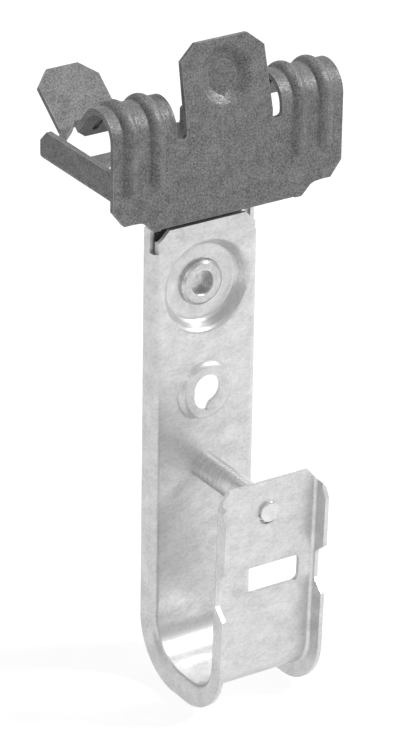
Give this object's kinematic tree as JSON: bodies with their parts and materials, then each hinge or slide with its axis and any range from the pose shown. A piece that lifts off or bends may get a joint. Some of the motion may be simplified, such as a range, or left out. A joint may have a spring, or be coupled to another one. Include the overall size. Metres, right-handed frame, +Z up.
{
  "type": "j hook cable support with a beam clamp",
  "caption": "Stamped J-shaped cable hook with a cross bar, riveted to a folded spring steel clamp that grips the edge of a beam flange.",
  "frame": {"origin": "middle of the clamp at the inner face of its wall, level with the upper edges of its side flanges, where the beam flange sits", "axes": "+Z up, X along the beam's edge, -Y the side the cables lie on"},
  "size_m": [0.0824, 0.1295, 0.2159],
  "materials": {
    "galvanised_sheet": "satin, mottled galvanised",
    "spring_steel": "matt, speckled phosphate on spring steel",
    "rivet_steel": "satin plated",
    "plated_bar": "bright plated"
  },
  "bodies": {
    "root": {"hook": "galvanised_sheet", "beam_clamp": "spring_steel", "clamp_rivet": "rivet_steel", "cross_bar": "plated_bar"}
  },
  "joints": []
}
